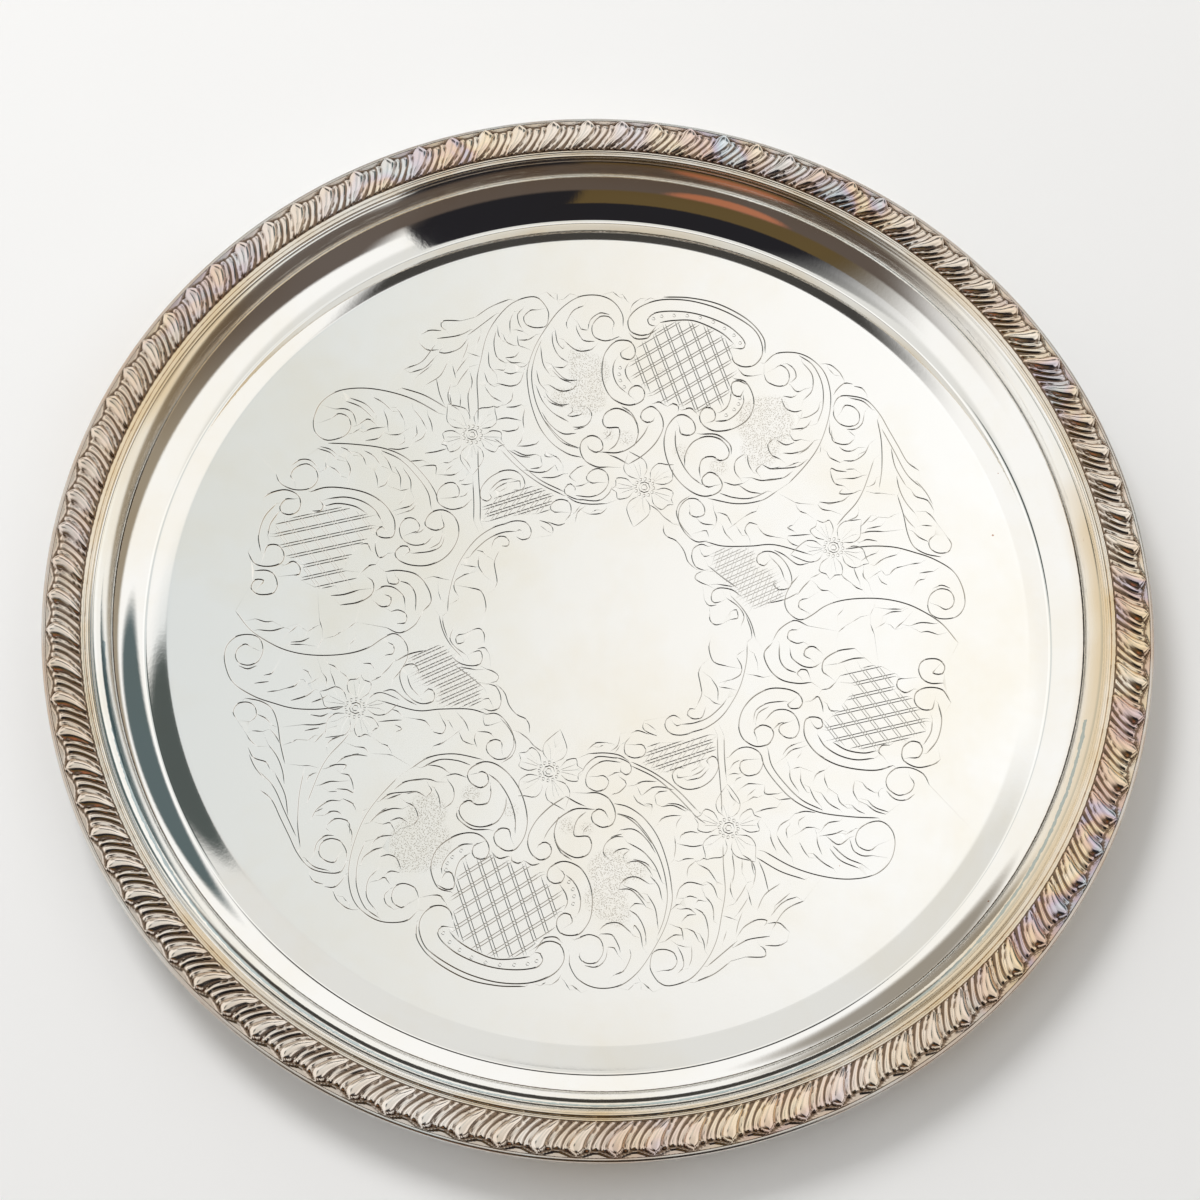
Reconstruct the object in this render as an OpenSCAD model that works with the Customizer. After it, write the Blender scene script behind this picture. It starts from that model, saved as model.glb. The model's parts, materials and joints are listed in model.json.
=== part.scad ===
// Round silver-plated offering plate: a stamped tray with an applied gadroon border.
// The origin is the centre of the ring that the plate rests on; +Z is up.

/* [Plate] */
// Diameter over the edge wire
plate_d = 318; // [254:1:381]
// Diameter of the flat engraved floor
floor_d = 250.8; // [190:0.2:300]
// Diameter of the crease between the bevel and the cove, the lowest line of the plate
crease_d = 263.4; // [200:0.2:315]
// Diameter at the top of the cove wall
cove_d = 289.4; // [220:0.2:340]
// Thickness of the sheet
sheet_t = 1.0; // [0.8:0.1:1.6]

/* [Heights] */
// How far the floor stands above the crease
floor_rise = 1.4; // [0.5:0.1:4]
// Height of the flange's upper face above the table
flange_z = 16.2; // [10:0.1:30]
// Width of the flat that the plate rests on, under the crease
foot_w = 2.4; // [1.5:0.1:4]

/* [Gadroon border] */
// Number of lobes around the border
lobes = 94; // [60:1:120]
// Radial width of the lobed band
band_w = 9.2; // [6:0.1:12]
// Radius of a lobe's round bulb, as a share of the pitch
bulb_share = 0.23; // [0.15:0.01:0.26]
// How far a lobe's tail is swept round, as a share of the pitch
sweep = 0.46; // [0:0.02:0.8]
// Thickness of the border's base strip
base_t = 0.7; // [0.4:0.1:1.2]

/* [Mouldings] */
// Width of the wire round the outer edge
wire_w = 1.2; // [0.8:0.1:2]
// Radial width of the plain moulding between the cove and the lobes
fillet_w = 3.2; // [2:0.1:5]
// Height of the solder filling behind the lobes
solder_h = 0.4; // [0.2:0.1:0.5]

/* [Hidden] */
$fn = 96;
plate_r = plate_d / 2;
floor_r = floor_d / 2;
crease_r = crease_d / 2;
cove_r = cove_d / 2;
crease_z = sheet_t;                              // upper face at the crease
floor_z = crease_z + floor_rise;                 // upper face of the floor
cove_turn = 52;                                  // degrees that the cove wall turns through
bend_r = 1.0;                                    // bend from the cove out to the flange
bend_from = 74;                                  // slope of the wall where that bend starts
base_r = plate_r - wire_w;                       // outer edge of the flange and of the border's base
fillet_out_r = cove_r + fillet_w;                // where the fillet ring meets the border
lobe_out_r = fillet_out_r + band_w;              // outer tips of the lobes
base_z = flange_z + base_t;                      // upper face of the border's base strip
pitch_deg = 360 / lobes;
pitch = 2 * PI * lobe_out_r / lobes;
bulb_r = bulb_share * pitch;                     // radius of a lobe's bulb
tail_r = 0.66 * bulb_r;                          // radius of a lobe's tail
rib_r = 0.038 * pitch;                           // radius of the fine ribs between the lobes
sunk = 0.1;                                      // how far the lobes and ribs are let into the base
rib_places = [-0.31, 0.31, 0.5];                 // ribs, as shares of the pitch from the lobe

silver = [0.86, 0.85, 0.82];
warm_silver = [0.72, 0.66, 0.58];
bright_silver = [0.92, 0.90, 0.86];
wire_silver = [0.62, 0.64, 0.64];
solder_grey = [0.50, 0.50, 0.52];

// ---- Outlines ------------------------------------------------------------------------------

// Points of an arc about c, from angle a0 to a1.
function arc(c, r, a0, a1, n) = [for (i = [0:n]) let (a = a0 + (a1 - a0) * i / n)
    [c[0] + r * cos(a), c[1] + r * sin(a)]];

// Centre and radius of the arc that joins p to q and turns through `turn` degrees, bending upwards.
function arc_r(p, q, turn) = norm(q - p) / (2 * sin(turn / 2));
function arc_c(p, q, turn) = let (a = atan2(q[1] - p[1], q[0] - p[0]))
    p + arc_r(p, q, turn) * [-sin(a - turn / 2), cos(a - turn / 2)];

// Upper line of the cove, from the crease to the start of the bend into the flange.
cove_low = [crease_r, crease_z];
cove_top = [cove_r - bend_r * (1 - cos(90 - bend_from)), flange_z - bend_r];
cove_c = arc_c(cove_low, cove_top, cove_turn);
cove_rad = arc_r(cove_low, cove_top, cove_turn);
cove_a0 = atan2(cove_low[1] - cove_c[1], cove_low[0] - cove_c[0]);
cove_a1 = cove_a0 + cove_turn;
bend_c = cove_top + [bend_r, 0];

// The sheet's outline: its upper face from the centre out, then its lower face back.
sheet_outline = concat(
    [[0, floor_z], [floor_r - 0.6, floor_z], [floor_r, floor_z - 0.12]],
    arc(cove_c, cove_rad, cove_a0, cove_a1, 20),
    arc(bend_c, bend_r, 180, 90, 5),
    [[base_r, flange_z], [base_r, flange_z - sheet_t]],
    arc(bend_c, bend_r - sheet_t + 0.4, 90, 150, 3),
    arc(cove_c, cove_rad + sheet_t, cove_a1, cove_a0 + 8, 18),
    [[crease_r + foot_w / 2, 0], [crease_r - foot_w / 2, 0]],
    [[floor_r - 0.4, floor_z - sheet_t], [0, floor_z - sheet_t]]);

// ---- One lobe and its ribs -----------------------------------------------------------------

// A point just inside the base: s runs from 0 at the outer tips of the lobes to 1 at their inner
// ends, and share is the distance round, in pitches, before the sweep is added.
function on_line(s, share) =
    let (r = lobe_out_r - band_w * s, a = pitch_deg * (sweep * s + share))
    [r * cos(a), r * sin(a), base_z - sunk];

// Half of a round shape lying on the base: its profile is turned about the line from p towards q.
module lying(p, q) {
    translate(p) rotate([0, 0, atan2(q[1] - p[1], q[0] - p[0]) + 90]) rotate([90, 0, 0])
        rotate_extrude(angle = 180, $fn = 48) children();
}

// A big lobe: a round bulb with a narrower tail that leans over inwards.
module lobe() {
    bulb = on_line(bulb_r / band_w, 0);
    tip = on_line(0.96, 0);
    intersection() {
        translate(bulb) sphere(r = bulb_r);
        translate(bulb - [bulb_r, bulb_r, 0] * 1.1) cube(2.2 * bulb_r);
    }
    lying(bulb, tip) square([tail_r, norm(tip - bulb)]);
}

// A fine rib that runs beside the lobes.
module rib(share) {
    outer = on_line(0.08, share);
    inner = on_line(0.97, share);
    lying(outer, inner) square([rib_r, norm(inner - outer)]);
}

// ---- Sub-parts -----------------------------------------------------------------------------

// The tray itself: engraved floor, bevel, resting crease, cove and flange in one sheet.
module tray_body() {
    color(silver) rotate_extrude($fn = 180) polygon(sheet_outline);
}

// The room that the solder takes up, between the flange and the back of the border.
module solder_room() {
    rotate_extrude($fn = 180) translate([0, flange_z])
        polygon([[fillet_out_r + 1.6, 0], [lobe_out_r - 1.2, 0],
                 [lobe_out_r - 1.6, solder_h], [fillet_out_r + 2.0, solder_h]]);
}

// The stamped mount that carries the lobes, hollow behind.
module gadroon_border() {
    color(warm_silver) {
        for (i = [0:lobes - 1]) rotate(i * pitch_deg) {
            lobe();
            for (share = rib_places) rib(share);
        }
        difference() {
            rotate_extrude($fn = 180) polygon([[fillet_out_r, flange_z], [base_r, flange_z],
                                               [base_r, base_z], [fillet_out_r, base_z]]);
            solder_room();
        }
    }
}

// Solder that fills the hollow back of the border and holds it to the flange.
module solder_fill() {
    color(solder_grey) solder_room();
}

// Plain moulding inside the lobes: a flat fillet and a small half-round bead.
module fillet_ring() {
    bead_r = 0.26 * fillet_w;
    color(bright_silver) rotate_extrude($fn = 180) translate([0, flange_z])
        polygon(concat([[fillet_out_r, 0], [fillet_out_r, base_t], [cove_r + 2 * bead_r + 0.9, base_t]],
                       arc([cove_r + bead_r + 0.55, 0.15], bead_r, 0, 180, 12),
                       [[cove_r + 0.55, 0]]));
}

// Wire round the edge: round outside, flat where it is soldered to the flange and the border.
module edge_wire() {
    wire_r = wire_w * 0.72;
    half = acos((base_r - (plate_r - wire_r)) / wire_r);
    color(wire_silver) rotate_extrude($fn = 180)
        polygon(arc([plate_r - wire_r, flange_z - 0.1], wire_r, -half, half, 20));
}

tray_body();
gadroon_border();
solder_fill();
fillet_ring();
edge_wire();
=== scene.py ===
import json
import math

import bpy
import numpy as np
from mathutils import Matrix, Vector, geometry, kdtree


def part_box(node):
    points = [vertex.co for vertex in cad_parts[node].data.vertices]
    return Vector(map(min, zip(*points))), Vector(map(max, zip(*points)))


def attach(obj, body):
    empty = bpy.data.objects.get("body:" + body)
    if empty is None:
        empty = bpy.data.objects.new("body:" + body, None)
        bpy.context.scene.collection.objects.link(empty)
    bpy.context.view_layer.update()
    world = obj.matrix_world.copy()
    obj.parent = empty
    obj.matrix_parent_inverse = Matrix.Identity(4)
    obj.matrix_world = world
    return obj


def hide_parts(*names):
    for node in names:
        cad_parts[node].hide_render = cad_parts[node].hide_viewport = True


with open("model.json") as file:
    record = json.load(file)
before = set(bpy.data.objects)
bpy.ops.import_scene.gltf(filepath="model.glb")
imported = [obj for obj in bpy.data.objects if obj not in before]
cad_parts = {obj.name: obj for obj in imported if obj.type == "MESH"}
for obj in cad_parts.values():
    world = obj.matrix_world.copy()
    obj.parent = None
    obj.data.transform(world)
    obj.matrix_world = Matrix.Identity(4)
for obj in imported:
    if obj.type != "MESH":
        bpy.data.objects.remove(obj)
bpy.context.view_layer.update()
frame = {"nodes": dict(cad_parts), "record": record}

MM = 0.001

# ---- Sizes, in millimetres, worked out from the frame ------------------------------------------


def frame_mm(node, corner, axis):
    """One coordinate of a CAD node's box, in millimetres."""
    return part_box(node)[corner][axis] / MM


PLATE_R = frame_mm("edge_wire", 1, 0)
BASE_R = frame_mm("gadroon_border", 1, 0)
FLANGE_Z = frame_mm("tray_body", 1, 2)
FILLET_OUT_R = frame_mm("fillet_ring", 1, 0)
LOBE_TOP_Z = frame_mm("gadroon_border", 1, 2)

SHEET = 1.0
MOUNT_PLACES = {mount["name"]: mount["pos_m"] for mount in frame["record"]["mounts"]}
FLOOR_Z = MOUNT_PLACES["well_floor"][2] / MM
FLOOR_R = 0.7887 * PLATE_R
CREASE_R = 0.8283 * PLATE_R
CREASE_Z = SHEET
COVE_R = 0.9101 * PLATE_R
COVE_TURN = math.radians(52)
BEND_R = 1.0
FOOT_W = 2.4
# Radius of the painted teal reflection line in the cove.
REFLECTION_LINE_R = 0.8945 * PLATE_R
BASE_Z = FLANGE_Z + 0.7

LOBES = 94
BAND_W = 9.2
LOBE_OUT_R = FILLET_OUT_R + BAND_W

# ---- Small helpers -----------------------------------------------------------------------------


def smooth(x, lo, hi):
    """0 below lo, 1 above hi, and a smooth rise between them."""
    t = np.clip((np.asarray(x, dtype=float) - lo) / (hi - lo), 0, 1)
    return t * t * (3 - 2 * t)


def mesh_object(name, verts_mm, faces, smooth_shade=True):
    """A new mesh object in the row frame from vertices in millimetres."""
    mesh = bpy.data.meshes.new(name)
    mesh.from_pydata([tuple(v) for v in np.asarray(verts_mm) * MM], [], faces)
    mesh.validate()
    mesh.update()
    if smooth_shade:
        mesh.shade_smooth()
    obj = bpy.data.objects.new(name, mesh)
    bpy.context.collection.objects.link(obj)
    return obj


def arc(centre, radius, start, end, count):
    """Points (r, z) of an arc about centre, angles in radians."""
    angles = np.linspace(start, end, count)
    return [(centre[0] + radius * math.cos(a), centre[1] + radius * math.sin(a)) for a in angles]


def revolve(name, outline, steps, closed=True):
    """A solid of revolution from an outline of (r, z) points, in millimetres."""
    outline = np.array(outline)
    turns = np.linspace(0, 2 * math.pi, steps, endpoint=False)
    ring = np.stack([np.outer(np.cos(turns), outline[:, 0]), np.outer(np.sin(turns), outline[:, 0]),
                     np.outer(np.ones(steps), outline[:, 1])], axis=-1)
    count = len(outline)
    faces = []
    for i in range(steps):
        a, b = i * count, ((i + 1) % steps) * count
        for j in range(count if closed else count - 1):
            k = (j + 1) % count
            faces.append((a + j, b + j, b + k, a + k))
    return mesh_object(name, ring.reshape(-1, 3), faces)


# ---- The engraving ------------------------------------------------------------------------------
# Half of the ring, in millimetres from its centre; the other half is the same turned by 180 degrees.
# Every stroke is a short list of the points that its line runs through.

ENGRAVING_CENTRE = (-0.4, -1.0)

# Cartouche at the near side: two C-scrolls and a boat-shaped scroll round a lattice.
NEAR_CARTOUCHE = [
    [(-35, -82.6), (-38.5, -81.8), (-40.8, -78), (-41.3, -74), (-39.5, -69.5), (-35, -66), (-30, -65),
     (-26.5, -66.8), (-25.4, -69.5), (-26.3, -72), (-28.5, -72.4), (-30, -70.8), (-29.8, -68.6),
     (-28.2, -67.7)],
    [(-30.2, -68.2), (-33.5, -68.8), (-36.5, -71.5), (-38.2, -75), (-38, -77.5)],
    [(-31, -71), (-33.2, -73), (-34.2, -76), (-34.3, -79)],
    [(-38.2, -79.5), (-37, -77), (-35.2, -77.3), (-34.3, -79.5), (-34.6, -81.5), (-36.5, -82),
     (-38.8, -81)],
    [(-1.2, -89.2), (-0.4, -88.3), (-1, -86.6), (-3.2, -86.2), (-4.7, -88), (-4.4, -90.5),
     (-2.5, -92.3), (1.5, -91.8), (4.2, -88), (4.8, -83.5), (4.2, -78.5), (2, -74), (-1, -71.8),
     (-4.5, -71.2), (-7.8, -73), (-8.5, -75.8), (-6.8, -77.7), (-4.5, -77.2), (-3.6, -75),
     (-4.8, -73.8)],
    [(-3, -75.2), (-0.3, -77.5), (1.3, -81), (1.4, -84.5), (0.6, -86.5)],
    [(-4.5, -78.2), (-2.8, -80.5), (-2.2, -83), (-3.2, -85.5)],
    [(-33.8, -90.5), (-34.6, -88.2), (-37.2, -86.8), (-40.5, -87.6), (-42.8, -91), (-42.6, -95),
     (-40, -99.5), (-34, -103.3), (-27, -106), (-19, -107.4), (-11, -106.8), (-5, -104), (-2, -100),
     (-2.6, -96), (-5.5, -94.5), (-8.5, -95.3), (-10.4, -98)],
    [(-43.8, -92), (-43, -97), (-38, -102.5), (-29, -106.9), (-20, -108.3), (-12, -107.9)],
    [(-34.8, -92.7), (-36.8, -92.8), (-37.6, -94.5), (-36, -97), (-32, -100), (-26, -102.3),
     (-20, -103.4), (-14, -103.3), (-9.5, -102.2), (-7.8, -100.2), (-8.5, -98.3), (-10, -98)],
    [(-34.2, -94.2), (-31, -97), (-26, -99.4), (-21, -100.8), (-15.5, -100.3), (-11.5, -99.3)],
    [(-10.8, -97), (-9, -95.5), (-8, -93.8), (-4.8, -93.2), (-2.5, -94.8)],
    [(-24.5, -70.2), (-22.5, -71.8), (-19.8, -70.9)],
    [(-18.8, -70.2), (-18.9, -72), (-17, -72.8), (-15.6, -71.8)],
    [(-15, -72), (-13, -73), (-11, -72.3)], [(-40.5, -84), (-38, -84), (-36, -86)],
]
NEAR_BEADS = [
    (-35.5, -72.5), (-36.7, -74.4), (-37, -76.3), (-33.2, -70.4), (-2.2, -77), (-0.9, -79),
    (-0.4, -81), (-0.5, -83.2), (-36, -94.6), (-34, -97), (-31, -99), (-27.5, -100.9), (-23.5, -102),
    (-19.5, -102.3), (-15.5, -102), (-11.8, -101.4), (-9.4, -100.4)
]
NEAR_LATTICE = [
    (-33.5, -74), (-29.5, -73), (-25, -70.5), (-21, -72), (-17.5, -73), (-12.5, -73), (-8.8, -77.8),
    (-4.5, -79.5), (-3.3, -84), (-5.2, -87.5), (-5, -91.5), (-9, -93.5), (-11, -97), (-14, -99.8),
    (-21, -100.4), (-28, -98.5), (-33.5, -93.8), (-33.8, -88), (-35.5, -83), (-33.8, -79)
]

# The pair of S-scrolls above that cartouche, each with a rounded lobe inside it.
S_SCROLLS = [
    [(-31, -47.3), (-29.5, -46.7), (-27.8, -47.5), (-27.5, -49.8), (-29.5, -51.5), (-32, -50.5),
     (-33.5, -48), (-32.5, -45.5), (-29, -43.7), (-25, -44.5), (-20.5, -48), (-17.3, -53),
     (-15.5, -59), (-15.8, -64.5), (-18, -68.5), (-20.8, -69.4), (-23.6, -67.6), (-24.4, -64.8),
     (-22.8, -63), (-20.3, -63.2), (-19.6, -65.5)],
    [(-27.5, -47.3), (-24, -49.8), (-21, -54), (-19, -59), (-18.5, -64)],
    [(-22, -53), (-22, -57), (-24, -61), (-28, -63), (-32, -62.4), (-34.7, -59.5), (-34.5, -56.8),
     (-32.2, -55.5), (-30.2, -56.6), (-27.2, -55.8), (-26.4, -53), (-26.8, -50)],
    [(-26, -63.6), (-31, -63.8), (-35, -61), (-35.6, -58)],
    [(-5.2, -52), (-9.5, -55.5), (-13, -60), (-14.8, -65), (-13.8, -69), (-11, -71.3), (-8.3, -69.8),
     (-8, -67.3), (-9.8, -66), (-11.6, -66.8), (-12, -68.2)],
    [(3, -55.2), (-2, -55.5), (-6, -58), (-9, -62), (-10.5, -65.5)],
    [(-5.2, -52), (-2, -53.6), (0.4, -54.4)],
    [(0.5, -50.6), (4, -50.3), (7.5, -52), (9.3, -55.5), (8.8, -58.8), (6, -60.3), (3.3, -59),
     (2.7, -56.5), (4.5, -55), (6.5, -55.8), (7.2, -57)],
    [(-6.5, -57.5), (-7.5, -63), (-5.5, -67.5), (-1, -69.8), (2.5, -68.3), (3.3, -65.3), (2, -63.3),
     (-1.5, -63.5), (-2, -61), (-1, -58), (1, -56)],
    [(2.2, -59.8), (0.8, -61.5), (0.6, -63)], [(-7.3, -65), (-5, -68.7), (-2, -70.5)],
]

# Scrolls between the reserve in the middle and the S-scrolls.
INNER_SCROLLS = [
    [(-30, -29.5), (-27, -29), (-24, -31), (-21.5, -35), (-21.3, -39), (-23, -42), (-26, -42.6),
     (-28.5, -40.5), (-28.7, -38), (-26.5, -36.8), (-24.6, -37.6), (-24.4, -39.8)],
    [(-25.5, -30.3), (-22.5, -33.5), (-20.6, -37.5), (-21.3, -41), (-24, -43.4)],
    [(-31.5, -34.8), (-28.5, -34.9), (-26.7, -36.3)], [(-30.5, -31), (-29.8, -32.7), (-28.2, -32.5)],
    [(9.5, -40.6), (5, -40.6), (1.8, -42.5), (0.2, -45.5), (0.8, -48.5), (3.5, -49.8), (6, -48.6),
     (6.7, -46.3), (5, -45), (3.3, -45.4)],
    [(9, -39.5), (3, -39.5), (0, -42), (-1.2, -45)], [(6.5, -45), (8, -44), (9.5, -43.6)],
    [(10, -41.5), (9.8, -43), (11.5, -44.2), (12.8, -43), (12.6, -41), (10.5, -39.8), (8, -39.2)],
    [(9.8, -45), (11.8, -46.8), (9.8, -49.5), (8, -50.3)],
    [(12, -32.5), (10.5, -35), (11, -38), (13.5, -39), (16, -38), (16.6, -36), (15.3, -34.8),
     (13.5, -35)],
    [(27.8, -43.5), (26.3, -43.8), (26, -42)],
    [(27.8, -40.8), (25.8, -41), (24.7, -43), (25.8, -45.5), (28.5, -47), (32, -46.5), (35.5, -44),
     (37.5, -40.5), (37.3, -37.5), (35.5, -36.6), (34.2, -38), (35.3, -39.4)],
    [(29, -44.4), (32.5, -43.2), (35, -40.2)], [(30, -43), (32.5, -41.5), (34, -39.8)],
    [(30, -41.5), (32, -40)],
    [(29.8, -22.8), (28.3, -22.9), (27.8, -24.5), (29.5, -25.8), (32, -25), (33, -21.5)],
    [(25.8, -26), (24, -25.2), (22, -26.3), (21.7, -28.7), (23.5, -30.8), (26.5, -31), (29.5, -30)],
    [(24, -27.5), (25, -28.3), (26.2, -27.7)], [(33, -1), (32.8, -4), (34.5, -8), (38.5, -9)],
    [(42.3, -4), (41, -5.2)], [(41, -6), (42.5, -8.5), (42.3, -11), (40, -12.8), (38.6, -13.3)],
    [(31, -9), (30.2, -11.5), (31, -15), (31.5, -18), (30.3, -21.8)],
    [(34, -13), (36, -16), (36.3, -19.5)], [(34, -19.3), (35.2, -20.4), (36.6, -20.7)],
    [(36.8, -15.5), (39.6, -15.7)], [(26.5, -27.7), (30, -27), (34, -24.8), (37.5, -21), (39, -18.5)],
    [(28.5, -30.2), (33, -28.3), (37, -25), (40, -20.5), (42.5, -14.5), (43.8, -7), (43.7, -1)],
    [(-51, 0), (-53, -4), (-57, -6.8), (-61, -5.5)],
    [(-60, -0.4), (-58, 0.2), (-55.5, -1), (-55.7, -3.5), (-58, -4)],
    [(-46, -0.5), (-44.5, -5), (-42, -9), (-38, -13)], [(-45, -0.5), (-44.6, -3), (-43, -7)],
    [(-41.5, -3.5), (-42.3, -7), (-40.5, -9.7), (-37, -12)],
    [(-38.3, -5.5), (-40.5, -6.3), (-40, -8.7), (-38.2, -8)],
    [(-41.5, -12.7), (-38.5, -14.7), (-35, -15.1), (-32.8, -14), (-32.5, -11.5), (-33.5, -10.3),
     (-35.3, -10.9)],
    [(-36, -4), (-34, -3.5), (-32.5, -5), (-32.3, -7.5)], [(-34, -9.7), (-32, -9.3), (-30.5, -11)],
    [(-31, -15.7), (-29, -16.3), (-27.3, -17.5), (-27.7, -19), (-29, -19.7)],
    [(-40, -15.5), (-36, -18), (-31, -21.6)], [(-38.5, -15.8), (-34, -16.2)],
    [(-30, -20.2), (-27.5, -21), (-26, -24), (-26.3, -27), (-28.5, -28.3), (-30.5, -27.8)],
    [(-31, -25), (-29.5, -24.6), (-28.5, -26)],
    [(-27.5, -20.3), (-25, -22.5), (-23.5, -26), (-21, -28.8), (-18.5, -29.8), (-17.2, -31.5),
     (-17, -34)],
    [(-20, -34), (-17, -36), (-15, -38), (-12.5, -39.5)], [(-57.5, -15.5), (-53.5, -13), (-49, -11.5)],
    [(-51.3, -18.8), (-50.3, -17.8), (-52, -16), (-55, -17), (-55.6, -20), (-54, -24), (-51, -27),
     (-48, -27.8), (-45.3, -26.5), (-45.3, -24), (-47.2, -23.2), (-48.5, -24.7)],
    [(-53.5, -19.5), (-52, -23), (-49, -26)],
    [(-60, -28), (-50, -30), (-43, -29), (-35, -28.3), (-30, -29.2)],
    [(-60, -25), (-57, -24.4), (-53, -27), (-50, -28.3)],
]
LEFT_LATTICE = [
    (-54, -14), (-48, -10), (-44, -9.5), (-38.5, -15), (-32.5, -20), (-31.5, -26), (-36, -28),
    (-44, -28), (-44.8, -23), (-49.5, -22)
]
RIGHT_LATTICE = [
    (17, -34.2), (25, -33.3), (35, -30), (37, -36), (34, -36), (33, -39.3), (28, -40.2), (25, -42.5),
    (20, -42.3), (16, -40.3)
]

# Stems: the long sweeping lines that the leaves grow from.
STEMS = [
    [(-50, -47.5), (-45, -43.7), (-38, -42.1), (-30, -43)],
    [(-47, -47), (-42, -44.2), (-37, -44), (-33, -45)],
    [(13, -40.3), (20, -43.3), (27, -48), (33, -53.5)],
    [(13, -41.5), (20, -44.5), (26, -49), (32, -54.5)],
    [(36.8, -30), (37.3, -36), (38.2, -42), (39, -48), (39.5, -53)],
    [(38.7, -30), (39.2, -36), (40, -42)],
    [(8.8, -53), (13, -53.8), (18, -57), (22, -62), (25, -69), (26.7, -76), (27, -81), (25.5, -88),
     (22.5, -95), (19, -101), (14, -105.5), (8, -106.7), (3, -105), (0, -101), (-0.5, -97)],
    [(10, -55.8), (15, -57.5), (20, -63), (23.7, -70), (25.6, -78), (25.2, -85), (23.5, -91)],
    [(2.7, -96.3), (2.3, -98), (4, -99.8), (7, -99.5), (8.8, -96.5), (8, -93), (4.5, -91.7),
     (0.5, -93.5)],
    [(10, -95), (9.5, -98.5), (7, -100.8), (4, -100.6)],
    [(12, -102.8), (15, -101), (16.6, -97), (16.2, -94.8)],
    [(25.8, -100.2), (28, -99.8), (29.6, -97.7), (28.8, -95.2), (26, -94.2), (23, -95), (22.2, -97.5),
     (22.6, -100.5), (25.5, -104), (29, -104.2), (34, -101.5), (38, -96), (40.3, -90), (41.2, -83),
     (41.8, -76), (40.8, -68), (40.3, -62)],
    [(29.5, -93), (31, -95.5), (31.5, -98.5), (30, -100.6)],
    [(46, -36.7), (44, -37.5), (44, -40), (46, -41.6), (49, -40.5), (50.3, -37.5), (49.3, -34.5),
     (46, -33), (42.5, -34), (40.3, -36.5)],
    [(49.5, -34.5), (51, -38.5), (54.5, -43), (60, -48), (67, -50.7), (76, -51.3), (84, -51)],
    [(51.5, -33), (53, -38), (57, -43), (62, -47.5), (68, -50)],
    [(84, -59), (81.8, -60.8), (79, -60), (77.8, -57.5), (78.8, -54.5), (81.5, -52.6), (85, -52),
     (88.2, -54.5), (89, -59), (87.5, -64), (83, -68), (76, -69.7), (68, -69.3), (60, -67.3),
     (52, -63.5)],
    [(76.2, -58), (77.5, -61.2), (80, -62.5), (83, -62.2)], [(50, -65.5), (57, -69), (64, -70.8)],
    [(92.5, -38), (93.8, -39.8), (92.8, -42.3), (89.5, -43.8), (86.5, -42), (85.8, -39), (88, -36),
     (92.5, -35.3), (96.5, -37), (98.2, -40)],
    [(86, -42.8), (88.5, -45), (91.5, -45), (94, -43)], [(34.5, -103), (40, -100), (44.5, -96)],
    [(38, -98), (42, -94), (46, -90)],
    [(-97, -37.3), (-95.4, -35.5), (-95.8, -33), (-98, -31.6), (-101, -32.2), (-102, -34.8),
     (-100.4, -37.3)],
    [(-99, -30.4), (-94.5, -31), (-91, -33), (-89, -37), (-87.5, -43), (-85.5, -49)],
    [(-98.8, -15), (-101, -14), (-103, -15.5), (-103.3, -18), (-101.8, -20), (-99, -20.3),
     (-96.5, -18.5), (-95.7, -15), (-97, -12), (-100, -11), (-104, -12), (-106.4, -15.5),
     (-106, -20.5), (-103, -26), (-97, -29.5), (-91, -31.2), (-85, -32.3), (-78, -32), (-71, -30.5)],
    [(-102, -20.8), (-99.5, -21.5), (-97, -20.3)],
    [(-105, -4), (-100, -9.5), (-93, -13.5), (-87, -15.3), (-80, -15.7), (-72, -14.6), (-66, -12.3),
     (-62, -9), (-59, -7.2), (-56.5, -8), (-54.4, -10.5), (-54, -14), (-55.5, -18), (-57.5, -21)],
    [(-60, -10), (-58.2, -11), (-58.3, -13.2), (-60.5, -14)],
    [(-91.5, -57.5), (-88, -60), (-85, -65), (-82, -70), (-79, -75), (-75, -79), (-70, -80),
     (-66.5, -79.3), (-65, -76)],
    [(-77, -76), (-74, -78.5), (-70, -79.3)], [(-92.5, -52), (-88, -56), (-84, -63), (-80, -70)],
    [(-88, -52), (-84.5, -58), (-83, -64)], [(-80, -51), (-80.5, -58), (-80, -66), (-78.5, -73)],
    [(-67.5, -74.5), (-68.5, -76.7), (-71, -76.5), (-73, -74.5), (-72.8, -71.5), (-70.5, -70),
     (-67.5, -70.5), (-65.5, -73), (-65.3, -76)],
    [(-74.5, -75), (-74, -71.5), (-72, -69.3), (-69.5, -69)],
    [(-53, -50), (-57.5, -56), (-61, -62), (-63, -68), (-64.2, -75), (-64, -81), (-62, -87),
     (-58, -91), (-53, -92.8), (-47, -92), (-43.6, -88.5)],
    [(-60.5, -70), (-62, -76), (-61.5, -83), (-58.5, -89), (-54, -92)],
    [(-47, -87.2), (-48.5, -88.3), (-50.8, -87), (-51.5, -84.5), (-50.5, -82), (-48, -81.3),
     (-45, -82.5), (-43.8, -85)],
    [(-52, -83), (-53.5, -85), (-52.7, -87.5), (-50.5, -89)],
    [(-68, -38), (-70, -41), (-73, -45), (-75, -49), (-76.5, -54), (-78, -60)],
]

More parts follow.
